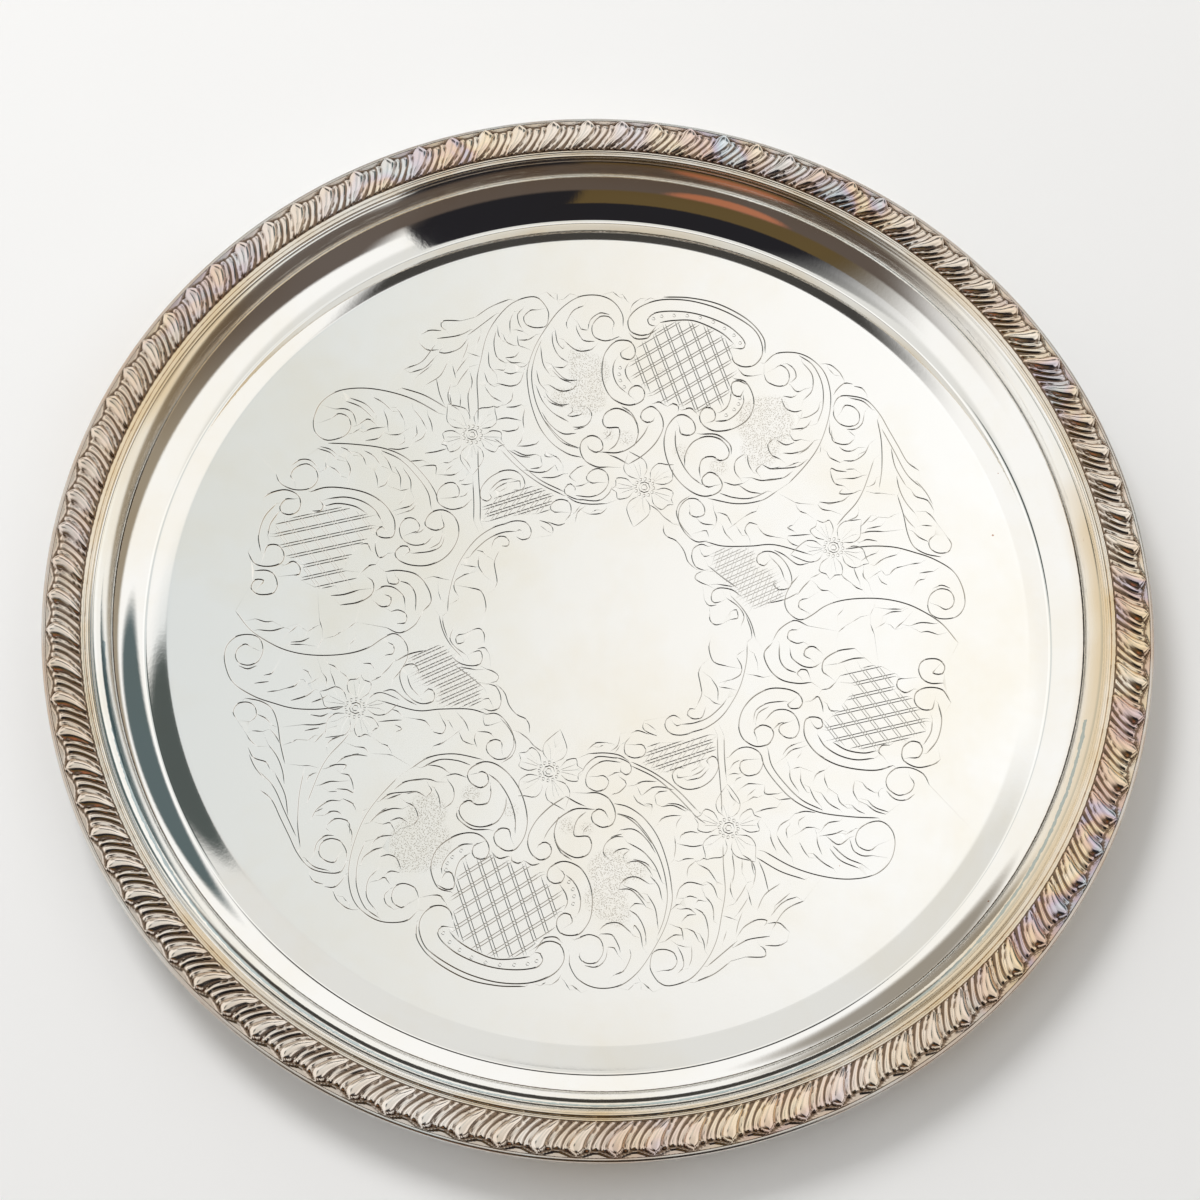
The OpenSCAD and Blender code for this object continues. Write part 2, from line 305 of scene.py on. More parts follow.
# Leaves: the short curved cuts along both sides of the stems.
LEAVES = [
    [(-45, -46), (-41.5, -46.3), (-38.5, -48)], [(-39.5, -48.8), (-37, -48), (-34, -48.7)],
    [(-50, -51), (-45, -50.2), (-42, -50.8)], [(-50, -55), (-47.5, -54.2), (-45, -55.3)],
    [(-44.3, -51.8), (-43.2, -53.5), (-44.8, -55.5)], [(-42.5, -52.5), (-41, -55), (-40.3, -58)],
    [(-39, -49.8), (-37, -52.5), (-37, -56), (-39.5, -58.5)], [(-50, -32.5), (-47, -33), (-45, -35)],
    [(-44.5, -36), (-42, -36.3), (-41, -34), (-42.5, -31.5)], [(-40.3, -32.2), (-38.8, -34.5)],
    [(-38.5, -36.3), (-37.2, -35)], [(-44, -40.2), (-42, -39.3), (-40.3, -38)],
    [(-37, -35.5), (-35.5, -38), (-33.2, -38.8)], [(-32.2, -34.5), (-32.5, -37), (-31.5, -39.5)],
    [(-37.8, -30), (-35.5, -32.3), (-34.3, -34.8)], [(13.7, -47.2), (16.5, -45.8), (20, -45.5)],
    [(16.5, -49.8), (19, -47.5), (22, -47), (25, -47.5)], [(15.3, -48), (16.2, -49.8)],
    [(20, -49.8), (21, -48.6), (23.5, -48)], [(20.2, -50), (20.8, -52.2)],
    [(22.3, -52.8), (25.5, -52.2), (29, -53.5)], [(24, -51.7), (27, -51.8), (30, -53.2)],
    [(14, -50), (15.5, -52), (17.5, -53)], [(18, -52.3), (19.5, -52.5), (19.5, -54.5)],
    [(31, -53.8), (33, -55.5), (35, -56.7)], [(9.8, -56), (13, -57), (17, -60), (21, -64.5)],
    [(11, -60.6), (15, -60.2), (19, -63), (21.5, -66.5)],
    [(13.5, -64.2), (18, -66.5), (21.5, -70), (24, -75)],
    [(8.9, -69.7), (7, -68), (6.8, -66), (8, -63.8), (10, -62.7), (12, -62.6)],
    [(8.7, -62.8), (11.5, -61.8)], [(9.3, -68.7), (10, -67), (12.5, -66), (14, -66.2)],
    [(12.8, -69), (12.5, -67.8), (14, -66.3)], [(13.8, -70), (16.5, -69.4), (19.5, -71), (21, -73)],
    [(15.5, -68.9), (19, -69.8), (21, -71.5)], [(20.5, -73.5), (23, -76), (24.3, -80)],
    [(11.7, -77.5), (13.2, -75), (16.5, -74), (20.3, -75.7)],
    [(12, -78), (15, -77.8), (18, -80), (20, -82.5)], [(13.8, -77), (17, -78.2), (20, -81)],
    [(20, -78.7), (22.5, -82.5), (23.7, -88)], [(15.2, -83.3), (16.5, -81.8), (18.8, -81.7)],
    [(15.2, -83.7), (18, -85.5), (20, -89), (20.7, -93)],
    [(7.3, -90), (9, -88.3), (12.5, -87.7), (16, -90), (17, -91)],
    [(7.8, -91.2), (11, -91.3), (13, -94), (13.7, -96)],
    [(16.8, -89.5), (17, -88), (18.8, -90), (19.8, -94)], [(10.2, -94.8), (12, -95), (13, -96.7)],
    [(27, -82.5), (28.2, -81.2), (29.3, -80.8)], [(28, -80), (29, -76), (31.5, -74.3), (35.5, -74.8)],
    [(30.3, -79), (32, -78.3), (34, -78.7)], [(33.7, -80.5), (34.3, -79.3), (35.8, -79.4)],
    [(36.5, -73.7), (38.5, -75), (39.8, -78)], [(36.3, -78), (38.5, -80.5), (39.2, -85)],
    [(33.7, -81.7), (36.5, -83.5), (37.8, -88), (37.5, -93)], [(29.5, -82.3), (32, -82), (34, -83.3)],
    [(30, -86), (31.5, -84), (34, -83.5)], [(25.5, -92), (28, -90), (30.5, -89.7)],
    [(28.7, -87.4), (30.3, -88), (31, -91)], [(31.8, -87.7), (34, -88.7), (35.3, -91)],
    [(35.5, -89), (36.7, -91), (37.2, -93.5)], [(29.5, -92.6), (31.5, -93)],
    [(33.3, -92), (33.6, -96), (32.8, -99)], [(34, -69), (37, -70.5), (39.3, -73.5)],
    [(30.8, -73), (31, -70), (32.8, -68)], [(28, -68.5), (30, -67.6), (32.3, -67.3)],
    [(34, -67.8), (35, -67), (36.5, -67.3)], [(28, -62.5), (28.5, -60.5), (31, -59.5), (33, -59.7)],
    [(28.5, -63.5), (32, -63.8), (34.8, -63)], [(26.5, -61), (27, -64), (26.8, -68)],
    [(21.5, -58), (22.5, -56.3), (25, -55.3), (27.5, -55)], [(28.3, -55), (27, -57), (26.8, -59)],
    [(43, -64), (44, -70), (43.5, -74)], [(46, -66), (46.2, -70)], [(48.5, -66), (49.5, -70)],
    [(43.3, -72.5), (43.2, -75), (44, -77.5)], [(47.8, -73), (46.5, -76), (44.5, -79.5)],
    [(48.2, -75.5), (49.5, -79.5)], [(48.5, -77), (47, -80), (45.5, -82.5)],
    [(57, -72.5), (53, -76), (51, -81)], [(50.8, -66.5), (52.5, -70), (54, -75)],
    [(46, -65), (49, -67), (50, -70), (49.5, -74)], [(47, -81.5), (46, -85), (45.5, -88.5)],
    [(42.3, -83.3), (44.3, -83.8)], [(43, -87), (42, -91)],
    [(45.8, -89), (48, -85.5), (51.5, -83.5), (54, -83.6), (53.3, -85)],
    [(54.5, -84.3), (57.5, -84), (60.5, -86.3)], [(45, -92), (49, -89.5), (55, -88)],
    [(52.5, -91), (54, -92), (53.7, -94), (48.5, -94.5)], [(54, -90.7), (57.5, -90.5), (60, -89)],
    [(55, -82), (58, -78), (62, -76)], [(56, -79), (60, -75)], [(55.5, -86), (59, -80), (64, -77)],
    [(46.8, -25), (47.5, -21.5), (50.5, -19.3), (55.5, -18.2)],
    [(47.5, -25.5), (48.2, -22.3), (51, -20.2)],
    [(50.2, -24.3), (52.5, -21.5), (56, -20.8), (59, -22.5), (60.2, -26), (59, -28.8), (56.5, -29.2),
     (54.5, -27.5), (54.7, -25.5), (56.8, -24.5)],
    [(52.8, -26.8), (54, -25.3), (55.5, -24.6)], [(41, -39.8), (42, -38), (43.5, -37.2)],
    [(41, -41.6), (42.3, -41.2), (43.5, -41.3)], [(42.5, -44), (43, -42.8), (44.2, -42.2)],
    [(44.5, -45.3), (46.3, -44), (49, -43.8)], [(46.5, -47.3), (48.5, -45.3)],
    [(46.5, -49), (48, -47.8), (49.3, -47.8)], [(51.2, -43.8), (51.5, -46.5), (55, -46.2)],
    [(55.5, -48), (58, -47.5), (59.5, -47.3)], [(41, -46.5), (42.3, -48.5), (44, -50)],
    [(49, -52.2), (52, -51), (55, -50.3)], [(70.7, -61.3), (74, -64.5), (79, -66.2)],
    [(71.5, -60.3), (75.5, -63.5), (80, -65)], [(66, -63), (69, -65.5), (72, -67)],
    [(62, -60), (63.5, -62.5), (65, -64.3)], [(66.7, -57.2), (67.2, -60), (68.5, -63)],
    [(55.5, -58.5), (57, -61), (60, -64.5)], [(55.3, -58), (56.3, -55.3), (58.8, -53.4)],
    [(58.5, -59), (58, -56.5), (59, -55)], [(53.5, -57.5), (54, -60), (55.5, -63)],
    [(61.8, -57), (63.5, -55.6), (66, -55.3)], [(61.5, -55), (61.5, -53.5), (63, -52.3)],
    [(68, -56), (69.5, -53.8), (73, -52.8)], [(68.5, -57.5), (71.5, -56.8), (74, -55.5)],
    [(70, -58), (73, -59.8), (76, -57.5)], [(75, -56.5), (77.5, -54.7)],
    [(60, -51.8), (63, -50.8), (66, -50.9)], [(56.5, -35), (58, -33), (61, -31.8)],
    [(55.8, -34.3), (57.3, -32), (59.5, -30.8)], [(60, -35), (61.2, -33.3)],
    [(59.3, -38.2), (61, -37.7)], [(58, -38), (58.5, -41.5), (61, -45)],
    [(61.2, -39), (61.5, -42), (63.3, -45)], [(65, -41.5), (65.8, -39.3), (68, -38)],
    [(68, -39), (68.3, -41), (69.3, -43.3)], [(64, -43.5), (65.5, -46.5), (67.5, -48.8)],
    [(67.5, -45), (70, -48), (73, -49.5)], [(72, -45), (73, -47.3), (75, -48.8)],
    [(76.8, -40.3), (76.5, -43.5), (78, -46.3)], [(79, -40.8), (80.5, -42.5), (82.5, -43.5)],
    [(84.3, -42.3), (83.7, -43.3), (84, -44.8)], [(80.8, -46), (83, -48), (86.8, -49)],
    [(80.5, -47.3), (83, -49), (86, -49.7)], [(76.3, -47.8), (78, -49.3), (80, -50)],
    [(-99, -6), (-96, -6.7), (-94, -6.3)], [(-98, -9.3), (-94, -9.3), (-90.5, -8)],
    [(-88, -12.3), (-85, -11.8), (-82.8, -10.5)], [(-88, -13), (-84, -12.7)],
    [(-89, -9.5), (-87.5, -8), (-86.5, -6.8)], [(-86.5, -6.5), (-85.2, -7.7)],
    [(-83.5, -8.5), (-81.5, -7)], [(-80.5, -4.5), (-79.3, -7.5)], [(-79, -10.5), (-80, -13)],
    [(-72, -6.5), (-70, -4.5)], [(-76, -9.5), (-74, -8)], [(-71, -11.5), (-69.5, -9.5)],
    [(-94.5, -23), (-92.5, -22.3), (-91.5, -20.5)], [(-97, -25.7), (-93, -24.8)],
    [(-93, -28), (-90, -27.3)], [(-88, -26.5), (-85.5, -25.5), (-84, -23.5)],
    [(-86, -30), (-82, -28.3), (-79.5, -26)], [(-80, -30), (-77.5, -28.8), (-75.7, -27.3)],
    [(-83, -23.3), (-81.8, -24.6)], [(-81, -24.2), (-79.3, -22.8)],
    [(-83.5, -20.3), (-82, -21), (-81, -22.5)], [(-78, -20.7), (-76.5, -22.5), (-76.5, -25)],
    [(-75.5, -20.5), (-74.5, -22.5), (-73.5, -25)], [(-76.5, -18), (-74.5, -18.7), (-73, -20)],
    [(-72.5, -20.3), (-71, -21.3), (-70, -22.5)], [(-66.5, -17), (-64.3, -17), (-63, -18.5)],
    [(-61, -20), (-59, -17.5), (-57.5, -15)], [(-63.5, -22), (-61, -20.5)],
    [(-57, -30.2), (-55, -30.8), (-53.5, -32.3)], [(-60, -34.2), (-56, -33.5), (-53.8, -33.2)],
    [(-55.5, -34.8), (-53.5, -35.8), (-55, -36.8)], [(-70, -39), (-73.5, -41), (-74.3, -43)],
    [(-71, -47.5), (-69, -45.7), (-65.5, -44.7), (-62.5, -44.8)], [(-68, -45.3), (-65, -44.2)],
    [(-66, -42.3), (-63.5, -42.5), (-62, -44)], [(-58.8, -40.8), (-57, -41.3), (-55.8, -42.8)],
    [(-57, -43.8), (-55.3, -44)], [(-74, -49.5), (-71.5, -48.2), (-68.2, -48), (-69, -49.5)],
    [(-69.3, -50.6), (-67, -51), (-65.8, -53), (-65.3, -55)],
    [(-75, -54.5), (-72.5, -53.3), (-69.7, -53)], [(-79, -54), (-78.3, -52), (-76.7, -51)],
    [(-80.5, -49.2), (-78.5, -49)], [(-80, -33.8), (-77, -34), (-75, -33)],
    [(-82, -37), (-78, -36.7), (-75, -35.8)], [(-81, -38.7), (-77, -37.5)],
    [(-80, -41.5), (-78, -39.8)], [(-78, -42), (-76.5, -40), (-75, -38)],
    [(-84.5, -42.5), (-83, -41.5)], [(-95, -35), (-92.5, -36), (-90.5, -37.8)],
    [(-91, -39), (-89, -41), (-87.3, -43.5)], [(-96, -40), (-93, -40)],
    [(-97.5, -41), (-96, -43), (-94, -44.5)], [(-91, -43.5), (-88, -47), (-86, -51), (-85, -55)],
    [(-96.5, -45), (-94.5, -48), (-91, -49), (-89.5, -51)], [(-96, -47), (-94, -50.5), (-91, -54)],
    [(-71.8, -66), (-70, -64.2), (-67.5, -64), (-65.5, -65), (-65, -68)], [(-72, -67), (-70.3, -68.3)],
    [(-73, -63.3), (-71, -62), (-69, -62), (-67.5, -63)],
    [(-76.5, -65), (-75, -61.5), (-72, -59), (-69, -58.7)], [(-72.3, -56.3), (-70, -56)],
    [(-70, -55.2), (-67, -55.3), (-65.5, -56), (-65, -54.8)], [(-75.5, -62.5), (-73.5, -61.3)],
    [(-68, -58), (-65, -59.3), (-64, -61)], [(-62, -61), (-62, -63)],
    [(-66, -65.3), (-64.5, -67.5), (-64.3, -71)], [(-52, -82), (-54, -80), (-56, -81)],
    [(-54, -79), (-52.5, -78), (-50, -78.2)], [(-56, -77.5), (-58.5, -81), (-58.3, -86), (-55, -90)],
    [(-55.7, -74), (-53.5, -73.3), (-51, -74.3), (-49.5, -77.3)], [(-55.5, -71.5), (-56, -73.5)],
    [(-61, -77), (-60.5, -74.5), (-58, -72.3), (-55.5, -71.3)],
    [(-58.7, -71), (-57, -68.5), (-53, -67.5)], [(-58, -69.5), (-55.5, -67.3)],
    [(-56, -64.5), (-54, -64), (-52.5, -66)], [(-54, -63.3), (-51.5, -62.3), (-49, -63.5)],
    [(-60, -64.5), (-57.5, -61.5), (-54, -59.8), (-51, -59.6)], [(-58.5, -62), (-55.5, -59.7)],
    [(-50.3, -57.5), (-47.5, -58.8), (-46.3, -62), (-48, -64.3)],
    [(-58, -58), (-55, -55.5), (-50, -54.5), (-47.5, -54)], [(-55.5, -57), (-52, -55.3)],
    [(-54, -54), (-51, -51.5), (-46, -50.5)], [(-75, -81), (-73.5, -82.8), (-71, -83.3)],
    [(-70.5, -84), (-68, -84), (-66, -82), (-65, -80)],
    [(-68, -85), (-66.5, -87.5), (-64, -89.5), (-62, -90)], [(-65, -86.5), (-63, -88.5)],
    [(-5, -106.8), (-3, -105), (-2.2, -103)], [(-1.2, -105.5), (0.5, -107.8)],
    [(1, -106.5), (3.5, -108.3)], [(-6.5, -106.3), (-8, -107.3)], [(16.5, -106.5), (18.3, -104.5)],
    [(20, -104), (20.2, -106)], [(21, -104.5), (23.5, -106.5)], [(66, -33.5), (68, -34.5)],
    [(6.7, -37.3), (8.5, -35.5), (9, -32)], [(7.8, -37.8), (9.5, -35)],
    [(0, -37.5), (2, -35.5), (5, -35)], [(3, -36.6), (4.3, -35.9)],
    [(0.3, -38.8), (5, -38.2), (9, -38.5), (12, -40)],
    [(15.5, -27.5), (15.3, -29.5), (16.8, -31), (19.5, -31.8)], [(16.7, -28.5), (19, -30)],
    [(12, -31.5), (14, -30.7), (17, -31.5)], [(46, -4.5), (47, -7)], [(46, -11), (49, -11.5)],
]

# Cartouche at the right: like the near one, with a looser lattice.
RIGHT_CARTOUCHE = [
    [(57.5, -18), (56.5, -19), (57.3, -20.2), (59.5, -20), (60.7, -18), (59.5, -15.8), (56, -14.5),
     (51, -14.8), (46.5, -17.5), (43.5, -22), (42.8, -27), (44.5, -30.8), (48, -32.6), (51.5, -31.5),
     (52.9, -28.5), (52, -26.7), (49.5, -26), (47.3, -27.5), (48, -29.8)],
    [(64, -24.5), (65.3, -25.8), (66.7, -24.8), (66.5, -23), (64.5, -22.3), (62, -23), (61.5, -26),
     (62.5, -29.5), (66, -33.5), (71, -36), (77, -37), (83, -36.8), (87.5, -35)],
    [(65.5, -27.5), (68, -31), (72, -33.3), (77, -34.2), (82, -33.3)],
    [(70, -29.5), (74, -31.5), (79, -32), (82.5, -31)],
    [(84.8, -32.7), (83.3, -31.2), (84, -29.3), (86.3, -29)],
    [(92, -32.3), (94.5, -32), (95.8, -29.8), (95, -27.7), (92.5, -27.3), (90.3, -29), (90, -32),
     (91.5, -34), (95, -35), (99, -33.7), (101, -32)],
    [(97, -30.5), (100, -26), (101, -20), (99.8, -15)], [(96, -28), (98, -24), (98.3, -20)],
    [(98.8, -14), (98, -17), (95, -17.3), (93, -15), (93.5, -12), (97, -10.5), (101, -11),
     (103.5, -14.5)],
    [(99, -4.2), (98, -6), (100.5, -6), (101.3, -3.5), (99, -1.6), (95, -2.3), (93.8, -5), (95, -8),
     (97.5, -9.2), (101, -8.8)],
    [(92.5, -11.3), (90, -12.7), (87.8, -11), (88, -8.8), (89.8, -8.4)],
    [(75, -0.3), (70, -1.6), (66.3, -4.5), (66, -8), (68, -9.6)], [(70, -5.5), (74.5, -3.6), (78, -3)],
    [(70, -11), (68, -13.2), (66, -13.8)],
    [(51, -0.5), (48.8, -4), (50.5, -8.5), (54, -11.7), (59, -12.5), (63, -11.8)],
    [(53, -0.5), (53.5, -5.5), (55.5, -8.3), (58.3, -9.2)],
    [(56.2, -2), (57, -4.8), (60, -7), (63, -7.2), (65, -5.8)],
    [(62.3, -4.6), (60.5, -3.8), (60.8, -1.6), (63, -0.8), (65.3, -2.3)],
    [(59.7, -10.5), (58.7, -9.5), (59.5, -8.2), (61.5, -8.3), (62.3, -10)],
    [(63, -17.5), (65, -16), (66.3, -18), (66.8, -20.5)], [(67.8, -18), (69, -20), (70.8, -19.8)],
]
RIGHT_CARTOUCHE_LATTICE = [
    (67, -24), (70, -21), (73.5, -16), (76, -12), (71, -9), (80, -5), (87, -5.5), (87, -12.5),
    (92, -14), (96.5, -20.5), (96.5, -24), (90.5, -27), (86, -28.2), (82.5, -30.5), (76, -31),
    (70, -29.2)
]
# Flowers: place and the direction of the first petal, in degrees.
FLOWERS = [((-10.5, -45), 80), ((41.7, -57.5), 95), ((-67.3, -30.7), 15)]
# Rough punched ground: middle and radius of each patch.
STIPPLED = [
    ((-45, -69), 8.5), ((-44, -60), 5.5), ((8.5, -81), 6), ((9, -72.5), 6), ((12, -85), 3.5),
    ((-32, -53.5), 2.5), ((-20.5, -57.5), 2), ((-4, -60.5), 2.2), ((1.5, -61), 1.6), ((-48, -75), 3),
    ((16, -72), 3), ((-13, -83), 1)
]
CUT_STEEPNESS = 0.55        # depth of a cut over its half-width
RUN = 0.8                   # longest stretch of a cut that is looked up as one, in millimetres
REACH = 0.68                # a point further than this from a stretch's middle is outside the cut


def smooth_line(points, step=0.8):
    """A smooth line through the points of a stroke."""
    p = np.array([points[0]] + list(points) + [points[-1]], dtype=float)
    p[0] = 2 * p[1] - p[2]
    p[-1] = 2 * p[-2] - p[-3]
    out = []
    for a, b, c, d in zip(p[:-3], p[1:-2], p[2:-1], p[3:]):
        count = max(2, int(np.linalg.norm(c - b) / step + 0.5))
        for t in np.arange(count) / count:
            out.append(0.5 * (2 * b + (c - a) * t + (2 * a - 5 * b + 4 * c - d) * t * t
                              + (3 * b - a - 3 * c + d) * t ** 3))
    return np.array(out + [p[-2]])


def circle(centre, radius, count=7):
    turns = np.linspace(0, 2 * math.pi, count)
    return np.stack([centre[0] + radius * np.cos(turns), centre[1] + radius * np.sin(turns)], axis=-1)


def lattice(outline, angle, gap, pair):
    """Parallel double cuts at an angle, kept inside an outline."""
    a = math.radians(angle)
    along, across = np.array([math.cos(a), math.sin(a)]), np.array([-math.sin(a), math.cos(a)])
    corners = np.array(outline, dtype=float)
    places = corners @ across
    cuts = []
    for base in np.arange(places.min() + 0.4 * gap, places.max(), gap):
        for level in (base - pair / 2, base + pair / 2):
            hits = []
            for p, q in zip(corners, np.roll(corners, -1, axis=0)):
                u, v = p @ across - level, q @ across - level
                if u * v < 0:
                    hits.append((p + (q - p) * u / (u - v)) @ along)
            hits.sort()
            for start, end in zip(hits[::2], hits[1::2]):
                if end - start > 3:
                    stops = (start, start + 1.4, end - 1.4, end)
                    cuts.append(np.array([along * t + across * level for t in stops]))
    return cuts


def flower(centre, first):
    """Five pointed petals round a beaded middle."""
    c = np.array(centre)
    lines = [circle(c, 0.9), circle(c, 1.7, 9)]
    lines += [circle(c + 2.7 * np.array([math.cos(a), math.sin(a)]), 0.5, 6)
              for a in np.linspace(0, 2 * math.pi, 12, endpoint=False)]
    for k in range(5):
        a = math.radians(first + 72 * k)
        out, side = np.array([math.cos(a), math.sin(a)]), np.array([-math.sin(a), math.cos(a)])
        reach = 10.5 + 1.6 * math.cos(2.4 * k)
        for hand in (1, -1):
            edge = [(3.4, 1.2), (5.2, 3.0), (8.0, 3.3), (reach - 0.6, 1.2), (reach + 0.8, 0.1)]
            lines.append(smooth_line([c + out * r + hand * side * w for r, w in edge]))
            lines.append(np.array([c + out * 3.6 + hand * side * 0.4, c + out * 6.6 + hand * side * 1.3]))
        lines.append(np.array([c + out * 3.8, c + out * 7.4]))
    return lines


BOLD, PLAIN, FINE = 0.25, 0.22, 0.18            # half-widths of the cuts


def engraving():
    """Every cut in the floor, as (centre line, half-width)."""
    cuts = []
    for strokes, half in ((NEAR_CARTOUCHE, BOLD), (RIGHT_CARTOUCHE, BOLD), (S_SCROLLS, BOLD),
                          (INNER_SCROLLS, PLAIN), (STEMS, PLAIN), (LEAVES, PLAIN)):
        cuts += [(smooth_line(points), half) for points in strokes]
    cuts += [(circle(place, 0.5), FINE) for place in NEAR_BEADS]
    for place, first in FLOWERS:
        cuts += [(line, FINE) for line in flower(place, first)]
    for outline, turns, gap, half in ((NEAR_LATTICE, (-67, 38), 3.9, PLAIN),
                                      (RIGHT_CARTOUCHE_LATTICE, (18, -50), 3.8, FINE),
                                      (RIGHT_LATTICE, (24, 60), 2.4, FINE),
                                      (LEFT_LATTICE, (75, 30), 2.2, FINE)):
        for angle in turns:
            cuts += [(line, half) for line in lattice(outline, angle, gap, 0.85)]
    cuts += [(-line, half) for line, half in cuts]
    return [(line + np.array(ENGRAVING_CENTRE), half) for line, half in cuts]


def cut_profile(line, half):
    """Half-width along a cut: it swells from thin ends."""
    lengths = np.concatenate([[0], np.cumsum(np.linalg.norm(np.diff(line, axis=0), axis=1))])
    ends = np.minimum(lengths, lengths[-1] - lengths)
    return half * (0.35 + 0.65 * np.clip(ends / 1.6, 0, 1))


def cut_depths(verts, runs):
    """How deep each vertex lies in the cuts. A run is (start, end, half-width there and there)."""
    starts, ends, wide0, wide1 = (np.array(column) for column in zip(*runs))
    counts = [max(1, math.ceil(np.linalg.norm(q - p) / RUN)) for p, q, _, _ in runs]
    stretches = kdtree.KDTree(sum(counts))
    for i, (p, q, _, _) in enumerate(runs):
        for k in range(counts[i]):
            stretches.insert((*(p + (q - p) * (k + 0.5) / counts[i]), 0), i)
    stretches.balance()
    depth = np.zeros(len(verts))
    for i, v in enumerate(verts):
        near = [hit[1] for hit in stretches.find_range((v[0], v[1], 0), REACH)]
        if not near:
            continue
        run = ends[near] - starts[near]
        t = np.clip(((v - starts[near]) * run).sum(1) / np.maximum((run ** 2).sum(1), 1e-12), 0, 1)
        away = np.linalg.norm(starts[near] + run * t[:, None] - v, axis=1)
        wide = wide0[near] * (1 - t) + wide1[near] * t
        depth[i] = np.max(np.clip(1 - away / wide, 0, 1) * wide) * CUT_STEEPNESS
    return depth


def engraved_plane(rim):
    """The floor inside a rim of (x, y) points: vertices, triangles and how deep each vertex is cut."""
    points = [tuple(p) for p in rim]
    edges = [(i, (i + 1) % len(rim)) for i in range(len(rim))]
    runs = []
    for line, half in engraving():
        wide = cut_profile(line, half)
        ahead = np.gradient(line, axis=0)
        ahead /= np.maximum(np.linalg.norm(ahead, axis=1, keepdims=True), 1e-9)
        side = np.stack([-ahead[:, 1], ahead[:, 0]], axis=-1)
        for offset in (-1, 0, 1):
            rail = line + side * wide[:, None] * offset
            first = len(points)
            points += [tuple(p) for p in rail]
            edges += [(first + i, first + i + 1) for i in range(len(rail) - 1)]
        runs += list(zip(line[:-1], line[1:], wide[:-1], wide[1:]))
    flat = geometry.delaunay_2d_cdt([Vector(p) for p in points], edges, [], 0, 1e-4)
    verts = np.array([tuple(v) for v in flat[0]])
    return verts, flat[2], cut_depths(verts, runs)


# ---- The tray body ------------------------------------------------------------------------------


def cove_arc():
    """Centre, radius and start angle of the cove's upper face."""
    low = np.array([CREASE_R, CREASE_Z])
    top = np.array([COVE_R, FLANGE_Z - BEND_R])
    chord = top - low
    slope = math.atan2(chord[1], chord[0])
    radius = np.linalg.norm(chord) / (2 * math.sin(COVE_TURN / 2))
    start = slope - COVE_TURN / 2
    centre = low + radius * np.array([-math.sin(start), math.cos(start)])
    return centre, radius, start - math.pi / 2


def sheet_outline():
    """The wall of the tray outside the floor: upper face outwards, then lower face back."""
    centre, radius, start = cove_arc()
    bend = (COVE_R + BEND_R, FLANGE_Z - BEND_R)
    upper = [(FLOOR_R - 1.2, FLOOR_Z), (FLOOR_R - 0.8, FLOOR_Z - 0.01), (FLOOR_R - 0.4, FLOOR_Z - 0.045),
             (FLOOR_R, FLOOR_Z - 0.11)]
    for t in np.linspace(0.06, 0.97, 10):
        belly = 0.05 * math.sin(math.pi * t)
        upper.append((FLOOR_R + (CREASE_R - FLOOR_R) * t,
                      FLOOR_Z - 0.11 + (CREASE_Z - FLOOR_Z + 0.11) * t + belly))
    upper += arc(centre, radius, start + 0.012, start + COVE_TURN, 44)
    upper += arc(bend, BEND_R, math.pi - 0.2, math.pi / 2, 8)
    upper += [(BASE_R, FLANGE_Z)]
    lower = [(BASE_R, FLANGE_Z - SHEET), (COVE_R + BEND_R + 0.6, FLANGE_Z - SHEET)]
    lower += arc(centre, radius + SHEET, start + COVE_TURN - 0.1, start + 0.14, 30)
    lower += [(CREASE_R + FOOT_W / 2, 0), (CREASE_R - FOOT_W / 2, 0)]
    lower += [(FLOOR_R - 0.4, FLOOR_Z - SHEET), (FLOOR_R - 4, FLOOR_Z - SHEET)]
    return upper, lower


def tray_sheet():
    """The whole tray in one piece: turned wall, plain underside and engraved floor."""
    upper, lower = sheet_outline()
    wall = revolve("tray_sheet", upper + lower + [(0.0001, FLOOR_Z - SHEET)], 360, closed=False)
    count = len(upper) + len(lower) + 1
    rings = np.array([v.co[:] for v in wall.data.vertices]) / MM
    rim = rings[::count]
    flat, triangles, depth = engraved_plane(rim[:, :2])
    floor = np.column_stack([flat, FLOOR_Z - depth])
    first = len(rings)
    faces = [tuple(p.vertices) for p in wall.data.polygons]
    floor_faces = []
    for tri in triangles:
        a, b, c = flat[tri[0]], flat[tri[1]], flat[tri[2]]
        turned = (b[0] - a[0]) * (c[1] - a[1]) - (b[1] - a[1]) * (c[0] - a[0])
        floor_faces.append(tuple(first + i for i in (tri if turned > 0 else reversed(tri))))
    bpy.data.objects.remove(wall)
    obj = mesh_object("tray_sheet", np.vstack([rings, floor]), faces + floor_faces)
    obj.data.polygons.foreach_set("use_smooth", [i < len(faces) for i in range(len(obj.data.polygons))])
    # Painted shade in the engraved cuts: each floor vertex's cut depth as a share of a bold cut's, 0 on the
    # wall.
    layer = obj.data.attributes.new("recess", "FLOAT", "POINT")
    cut = np.concatenate([np.zeros(first), np.clip(depth / (BOLD * CUT_STEEPNESS), 0, 1)])
    layer.data.foreach_set("value", cut.astype(np.float32))
    return obj


# ---- The gadroon border -------------------------------------------------------------------------


def lobe_shift(s):
    """How far a lobe's line has swept round at s, in pitches."""
    return 0.72 * np.clip(s - 0.2, 0, None) ** 1.6


def lobe_half_width(s):
    """Half the width of a lobe at s, in pitches: a round bulb, then a long tail."""
    bulb = 0.235 * np.sqrt(np.clip(1 - ((s - 0.245) / 0.245) ** 2, 0, 1))
    tail = np.interp(s, [0.245, 0.63, 0.83, 0.957, 1.0], [0.235, 0.215, 0.175, 0.10, 0.02])
    return np.where(s < 0.245, bulb, tail)


def ridge(x, half):
    """A rounded ridge of height 1 and half-width half."""
    return np.sqrt(np.clip(1 - (x / np.maximum(half, 1e-4)) ** 2, 0, 1))


